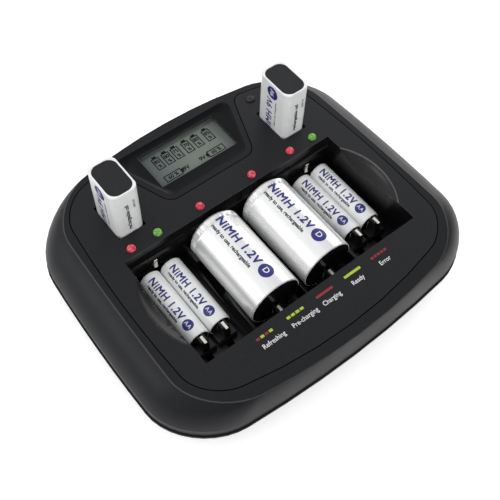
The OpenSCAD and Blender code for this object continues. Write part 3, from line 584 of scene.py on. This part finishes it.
# cut_edge_painted_highlight: the pane's cut edge, a frosted grey painted lighter and nearly opaque as a
# painted highlight
cut_edge_painted_highlight, tree, paint = shader("cut_edge_painted_highlight")
sawn = link_noise(tree, 0.0008, 2)
link_colours(tree, sawn, (0.05, 0.053, 0.053), (0.065, 0.068, 0.068), paint["Base Color"])
paint["Alpha"].default_value = 0.9
paint["Roughness"].default_value = 0.4
pane = finished_copy("lcd_window", "clear_pane", [clear_window, cut_edge_painted_highlight], 30)
pane_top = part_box("lcd_window")[1].z
soften_rim(pane, pane_top, pane_rim_w)
# The pane's rim bevel and upper side walls take the lighter edge colour as a painted highlight
for face in pane.data.polygons:
    if face.center.z > pane_top - pane_deep and face.normal.z < 0.99:
        face.material_index = 1

segment_dark = ink("segment_dark", (0.003, 0.004, 0.004), 0.6)
segment_dark.node_tree.nodes["Principled BSDF"].inputs["Specular IOR Level"].default_value = 0.1
for k, (middle, share) in enumerate(cell_marks, 1):
    place = Matrix.Translation((middle, cell_row, lcd_top))
    settle(battery_mark(f"lcd_cell_{k}", 0.0056, 0.0096), place)
    segment_text(f"lcd_share_{k}", str(share), 0.0038, place @ Matrix.Translation((0, 0.0016, 0)))
    segment_text(f"lcd_percent_{k}", "%", 0.0033, place @ Matrix.Translation((0, -0.0022, 0)))
for side, middle, turn, shift in block_marks:
    place = Matrix.Translation((middle, block_row, lcd_top))
    turned = place @ Matrix.Rotation(math.radians(turn), 4, "Z")
    settle(battery_mark(f"lcd_block_{side}", 0.0052, 0.0122), turned)
    segment_text(f"lcd_block_share_{side}", "60 %", 0.0036, place)
    segment_text(f"lcd_block_name_{side}", "9V", 0.004, place @ Matrix.Translation((shift, 0, 0)))


# Indicator lamps: tinted, cloudy half-clear domes, red or green, pushed up from their board
# into holes along the bay's back edge.
lamp_glow = 0.1
green_lamps = (2, 6)


def lamp_lens(name, colour):
    material, tree, paint = shader(name)
    paler = tuple(min(1, c * 1.2 + 0.1) for c in colour)
    cloud = link_noise(tree, 0.0014, 2)
    link_colours(tree, cloud, colour, paler, paint["Base Color"], 0.45, 0.62)
    link_range(tree, cloud, 0.06, 0.12, paint["Roughness"])
    paint["Subsurface Weight"].default_value = 0.3
    paint["Subsurface Radius"].default_value = (0.002, 0.001, 0.001)
    paint["Emission Color"].default_value = (*colour, 1)
    paint["Emission Strength"].default_value = lamp_glow
    return material


red_lens = lamp_lens("red_lens", (0.5, 0.03, 0.06))
green_lens = lamp_lens("green_lens", (0.1, 0.3, 0.035))
for k in range(1, 7):
    lens, slot = (green_lens, "lamp_green") if k in green_lamps else (red_lens, "lamp_red")
    finished_copy(f"led_{k}", f"lamp_{k}", [lens], 40)


# Push button: a small round cap of smooth black plastic behind the right block cell, standing
# on its switch. The power inlet at the back is of the same plastic.
button_black = grained_plastic(
    "button_black", (0.008, 0.008, 0.009), (0.014, 0.014, 0.016), 0.22, 0.0004, 0.00001, 0.5
)
finished_copy("refresh_button", "push_button_cap", [button_black], 35)
for node in ["button_switch", "dc_inlet"]:
    coat(node, button_black)


# Sliders and contacts: smooth black carriages on the bay floor, each with a bright plated strip,
# pulled towards the cell by a wire spring under the floor. The positive strips on the rail are nickel
# painted near-black as painted shade, except a plain nickel stripe on the large lanes' ones where lit.
stripe_half_w, stripe_share = 0.0011, 0.45


def bright_metal(name, pale, rough, streak=(1, 1, 1), solid=1.0):
    material, tree, paint = shader(name)
    paint["Metallic"].default_value = solid
    drawn = link_noise(tree, 0.0006, 3, streak)
    link_colours(tree, drawn, tuple(c * 0.8 for c in pale), pale, paint["Base Color"])
    link_range(tree, drawn, rough - 0.06, rough + 0.06, paint["Roughness"])
    return material


slider_black = grained_plastic(
    "slider_black", (0.007, 0.007, 0.0075), (0.012, 0.012, 0.013), 0.3, 0.0005, 0.00001, 0.4
)
nickel = bright_metal("nickel", (0.95, 0.93, 0.84), 0.32, (1, 1, 0.1), 0.2)
# nickel_painted_shade: nickel painted near-black as painted shade
nickel_painted_shade = bright_metal("nickel_painted_shade", (0.05, 0.05, 0.05), 0.4, (1, 1, 0.1))
spring_wire = bright_metal("spring_wire", (0.6, 0.61, 0.62), 0.3)
for k in range(1, 7):
    coat(f"contact_slider_{k}", slider_black)
    coat(f"negative_contact_{k}", nickel)
    spring = finished_copy(f"slider_spring_{k}", f"pull_spring_{k}", [spring_wire], 60)
    low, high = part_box(f"slider_spring_{k}")
    spring.parent = None
    del spring["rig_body"]
    middle_x, middle_z = (low.x + high.x) / 2, (low.z + high.z) / 2
    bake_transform(spring)
for side in ("left", "right"):
    coat(f"snap_connector_{side}", nickel)
for k in range(1, 5):
    coat(f"aa_contact_{k}", nickel_painted_shade)
    low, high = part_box(f"d_contact_{k}")
    middle_x = (low.x + high.x) / 2
    strip = finished_copy(f"d_contact_{k}", f"ridged_strip_{k}", [nickel_painted_shade, nickel], 40)
    work_on(strip)
    bpy.ops.object.mode_set(mode="EDIT")
    for side in (-1, 1):
        bpy.ops.mesh.select_all(action="SELECT")
        bpy.ops.mesh.bisect(plane_co=(middle_x + side * stripe_half_w, 0, 0), plane_no=(1, 0, 0))
    bpy.ops.object.mode_set(mode="OBJECT")
    # A stripe near the front keeps plain nickel as the lit part; the rest stays painted shade
    for face in strip.data.polygons:
        in_front = face.center.y < low.y + stripe_share * (high.y - low.y)
        if in_front and abs(face.center.x - middle_x) < stripe_half_w:
            face.material_index = 1
    deselect()


# Slim cells: steel cans in a satin white-silver sleeve printed in blue, with a small dark line
# of text and a blue spot near the negative end, whose metal plate in the folded rim is painted
# black as painted shade.
label_start, line_start, line_share, spot_room = 0.0046, 0.0062, 0.92, 0.0014
print_lift, print_half_w, print_step = 0.00003, 0.008, 0.0007
plate_room, plate_deep, stud_deep, rim_t = 0.0007, 0.001, 0.002, 0.0002
slim_stud_share = 0.86


def cut_across(piece):
    work_on(piece)
    bpy.ops.object.mode_set(mode="EDIT")
    for k in range(int(2 * print_half_w / print_step) + 1):
        bpy.ops.mesh.select_all(action="SELECT")
        bpy.ops.mesh.bisect(plane_co=(0, k * print_step - print_half_w, 0), plane_no=(0, 1, 0))
    bpy.ops.object.mode_set(mode="OBJECT")


def roll_on(piece, radius, axis_x, axis_z, back_y):
    for v in piece.data.vertices:
        along, around, out = v.co.x, v.co.y / radius, radius + print_lift + v.co.z
        v.co = (axis_x + out * math.sin(around), back_y - along, axis_z + out * math.cos(around))
    piece.data.update()


def spot(name, radius, material):
    deselect()
    bpy.ops.mesh.primitive_circle_add(vertices=48, radius=radius, fill_type="NGON", location=(0, 0, 0))
    piece = bpy.context.object
    piece.name = name
    piece.data.name = name
    bpy.ops.object.mode_set(mode="EDIT")
    bpy.ops.mesh.select_all(action="SELECT")
    bpy.ops.mesh.extrude_region_move(TRANSFORM_OT_translate={"value": (0, 0, ink_t)})
    bpy.ops.mesh.select_all(action="SELECT")
    bpy.ops.mesh.normals_make_consistent(inside=False)
    bpy.ops.object.mode_set(mode="OBJECT")
    piece.data.materials.append(material)
    return piece


def stretch_to(piece, length):
    ends = [v.co.x for v in piece.data.vertices]
    piece.data.transform(Matrix.Scale(length / (max(ends) - min(ends)), 4))
    piece.data.transform(Matrix.Translation((-min(v.co.x for v in piece.data.vertices), 0, 0)))


def print_label(cell, axis, size_name, size_share, back_y, name_l, name_up, line_up, spot_r):
    name = lettering(f"{cell}_name", "NiMH 1.2V", 0.006, print_blue, "LEFT", 0.028, 1.1)
    stretch_to(name, name_l)
    name.data.transform(Matrix.Translation((label_start, name_up, 0)))
    line = lettering(f"{cell}_line", "ready to use, rechargeable", 0.002, print_dark, "LEFT", 0.03)
    stretch_to(line, name_l * line_share)
    line.data.transform(Matrix.Translation((line_start, line_up, 0)))
    spot_along = label_start + name_l + spot_r + spot_room
    mark = spot(f"{cell}_spot", spot_r, print_blue)
    mark.data.transform(Matrix.Translation((spot_along, name_up, 0)))
    letters = lettering(f"{cell}_size", size_name, spot_r * size_share, print_white, weight=0.012, space=1.3)
    letters.data.transform(Matrix.Translation((spot_along, name_up, print_lift)))
    axis_x, axis_z, radius = axis
    for piece in (name, line, mark, letters):
        cut_across(piece)
        roll_on(piece, radius, axis_x, axis_z, back_y)
        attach(piece, "charger")


def cell_axis(low, high):
    return (low.x + high.x) / 2, (low.z + high.z) / 2, (high.x - low.x) / 2


def finish_ends(piece, low, high, stud_share, rim):
    axis_x, axis_z, radius = cell_axis(low, high)
    for face in piece.data.polygons:
        # Inside the rim at the negative end, the metal plate takes the near-black painted shade
        across = math.hypot(face.center.x - axis_x, face.center.z - axis_z)
        if across < radius - plate_room and face.center.y < low.y + plate_deep:
            face.material_index = 1
        elif face.center.y < low.y + rim_t:
            face.material_index = rim
        if across < radius * stud_share and face.center.y > high.y - stud_deep:
            face.material_index = 2


sleeve_white, tree, paint = shader("sleeve_white")
sheen = link_noise(tree, 0.004, 2, (1, 0.1, 1))
link_colours(tree, sheen, (0.8, 0.81, 0.81), (0.86, 0.87, 0.87), paint["Base Color"])
link_range(tree, sheen, 0.28, 0.38, paint["Roughness"])
paint["Metallic"].default_value = 0.05
can_steel = bright_metal("can_steel", (0.6, 0.6, 0.6), 0.25)
# end_painted_shade: near-black colour for the metal negative end plates, painted shade
end_painted_shade = grained_plastic(
    "end_painted_shade", (0.003, 0.003, 0.004), (0.006, 0.006, 0.007), 0.15, 0.001, 0.00001, 0.25
)
print_blue = ink("print_blue", (0.018, 0.021, 0.2), 0.35)
print_dark = ink("print_dark", (0.015, 0.015, 0.03), 0.4)
print_white = ink("print_white", (0.75, 0.75, 0.76), 0.4)
slim_finishes = [sleeve_white, end_painted_shade, can_steel]
for k in range(1, 5):
    low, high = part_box(f"aa_cell_{k}")
    sleeve = finished_copy(f"aa_cell_{k}", f"slim_cell_{k}", slim_finishes, 25)
    finish_ends(sleeve, low, high, slim_stud_share, 0)
    print_label(
        f"slim_cell_{k}", cell_axis(low, high), "AA", 0.95,
        back_y=high.y - 0.0013, name_l=0.0313, name_up=-0.0014, line_up=-0.0052, spot_r=0.0034,
    )


# Large cells: cans wrapped in a shiny silver foil with streaks along the roll and the same print,
# a rolled groove near the back, and at the negative end a thin bright rim round the metal end plate,
# which is painted glossy black as painted shade.
groove_cuts = (0.007, 0.0074, 0.0078, 0.0082)
groove_start, groove_end, groove_share = 0.0073, 0.0079, 0.02
large_stud_share = 0.6

foil, tree, paint = shader("foil")
paint["Metallic"].default_value = 0.5
streaks = link_noise(tree, 0.003, 3, (1, 0.012, 1))
link_colours(tree, streaks, (0.84, 0.85, 0.85), (0.9, 0.9, 0.9), paint["Base Color"])
link_range(tree, streaks, 0.22, 0.3, paint["Roughness"])
link_bump(tree, streaks, 0.03, 0.00005, paint["Normal"])
folded_rim = ink("folded_rim", (0.75, 0.76, 0.77), 0.4)
large_finishes = [foil, end_painted_shade, can_steel, folded_rim]
for k in (1, 2):
    low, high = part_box(f"d_cell_{k}")
    can = finished_copy(f"d_cell_{k}", f"large_cell_{k}", large_finishes, 25)
    axis_x, axis_z, radius = cell_axis(low, high)
    work_on(can)
    bpy.ops.object.mode_set(mode="EDIT")
    for back in groove_cuts:
        bpy.ops.mesh.select_all(action="SELECT")
        bpy.ops.mesh.bisect(plane_co=(0, high.y - back, 0), plane_no=(0, 1, 0))
    bpy.ops.object.mode_set(mode="OBJECT")
    for v in can.data.vertices:
        if high.y - groove_end < v.co.y < high.y - groove_start:
            v.co.x += (axis_x - v.co.x) * groove_share
            v.co.z += (axis_z - v.co.z) * groove_share
    can.data.update()
    bpy.ops.object.shade_smooth_by_angle(angle=math.radians(25))
    deselect()
    finish_ends(can, low, high, large_stud_share, 3)
    print_label(
        f"large_cell_{k}", (axis_x, axis_z, radius), "D", 1.15,
        back_y=high.y - 0.0016, name_l=0.0376, name_up=0.0014, line_up=-0.0042, spot_r=0.0045,
    )


# Block cells: folded white jackets with a black end plate inset at the top, printed on two sides,
# standing on their snaps in the wells.
jacket_rim_w, cap_low, cap_high, snap_h = 0.0005, 0.0006, 0.0003, 0.0025
block_print_lift = 0.00002
spot_down, block_spot_r = -0.0068, 0.0046
cap_black = grained_plastic(
    "cap_black", (0.014, 0.0145, 0.016), (0.022, 0.0225, 0.025), 0.6, 0.0005, 0.00002, 0.2
)
front_prints = [
    ("line", "rechargeable cell", 0.0034, print_dark, "RIGHT", 0.03, 1.0, (-0.0105, 0.0006, 0)),
    ("kind", "NiMH 9V", 0.0019, print_dark, "RIGHT", 0.02, 1.0, (-0.0085, -0.0042, 0)),
]
left_prints = [
    ("size", "9V", 0.0048, print_white, "CENTER", 0.02, 1.0, (spot_down, 0, print_lift)),
    ("name", "NiMH 9V", 0.0072, print_blue, "RIGHT", 0.02, 1.06, (-0.0126, 0.0017, 0)),
    ("small", "ready to use, rechargeable", 0.0019, print_dark, "RIGHT", 0.012, 1.0, (-0.0126, -0.0036, 0)),
]


def print_face(side, prints, face_matrix):
    for part, words, height, material, align, weight, space, place in prints:
        text = lettering(f"block_{side}_{part}", words, height, material, align, weight, space)
        settle(text, face_matrix @ Matrix.Translation(place))


block_finishes = [sleeve_white, cap_black, nickel]
for side in ("left", "right"):
    low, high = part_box(f"block_cell_{side}")
    jacket = finished_copy(f"block_cell_{side}", f"block_cell_{side}_jacket", block_finishes, 35)
    middle_x, middle_y = (low.x + high.x) / 2, (low.y + high.y) / 2
    soften_rim(jacket, high.z, jacket_rim_w)
    for face in jacket.data.polygons:
        if high.z - cap_low < face.center.z < high.z - cap_high and face.normal.z > 0.9:
            face.material_index = 1
        if face.center.z < low.z + snap_h:
            face.material_index = 2
    front_y, left_x = low.y - block_print_lift, low.x - block_print_lift
    front_face = Matrix(((0, -1, 0, middle_x), (0, 0, -1, front_y), (1, 0, 0, high.z), (0, 0, 0, 1)))
    left_face = Matrix(((0, 0, -1, left_x), (0, 1, 0, middle_y), (1, 0, 0, high.z), (0, 0, 0, 1)))
    print_face(side, front_prints, front_face)
    mark = spot(f"block_{side}_spot", block_spot_r, print_blue)
    settle(mark, left_face @ Matrix.Translation((spot_down, 0, 0)))
    print_face(side, left_prints, left_face)


# Boards: green solder-masked glass fibre on posts of the lower housing, with a wound choke and
# a black can on the main one.
board_green, tree, paint = shader("board_green")
traces = tree.nodes.new("ShaderNodeTexBrick")
traces.inputs["Scale"].default_value = 120
traces.inputs["Color1"].default_value = (0.012, 0.09, 0.04, 1)
traces.inputs["Color2"].default_value = (0.015, 0.11, 0.045, 1)
traces.inputs["Mortar"].default_value = (0.03, 0.18, 0.07, 1)
traces.inputs["Mortar Size"].default_value = 0.03
board_place = tree.nodes.new("ShaderNodeTexCoord")
tree.links.new(board_place.outputs["Object"], traces.inputs["Vector"])
tree.links.new(traces.outputs["Color"], paint["Base Color"])
paint["Roughness"].default_value = 0.3
for node in ["display_board", "indicator_board", "main_board"]:
    coat(node, board_green)
winding, tree, paint = shader("winding")
paint["Metallic"].default_value = 0.8
turns = tree.nodes.new("ShaderNodeTexWave")
turns.inputs["Scale"].default_value = 250
turns_place = tree.nodes.new("ShaderNodeTexCoord")
tree.links.new(turns_place.outputs["Object"], turns.inputs["Vector"])
link_colours(tree, turns.outputs["Fac"], (0.16, 0.06, 0.02), (0.5, 0.22, 0.08), paint["Base Color"])
link_bump(tree, turns.outputs["Fac"], 0.5, 0.0002, paint["Normal"])
finished_copy("supply_inductor", "supply_choke", [winding], 40)
finished_copy("supply_capacitor", "supply_can", [button_black], 40)


# Feet and screws: soft black rubber pads glued in round seats, and zinc-plated screws in deep
# holes from below.
rubber = grained_plastic(
    "rubber", (0.008, 0.008, 0.008), (0.014, 0.014, 0.014), 0.75, 0.0008, 0.00003, 0.3
)
finished_copy("rubber_feet", "foot_pads", [rubber], 35)
zinc = bright_metal("zinc", (0.55, 0.56, 0.58), 0.32)
finished_copy("case_screws", "zinc_screws", [zinc], 35)
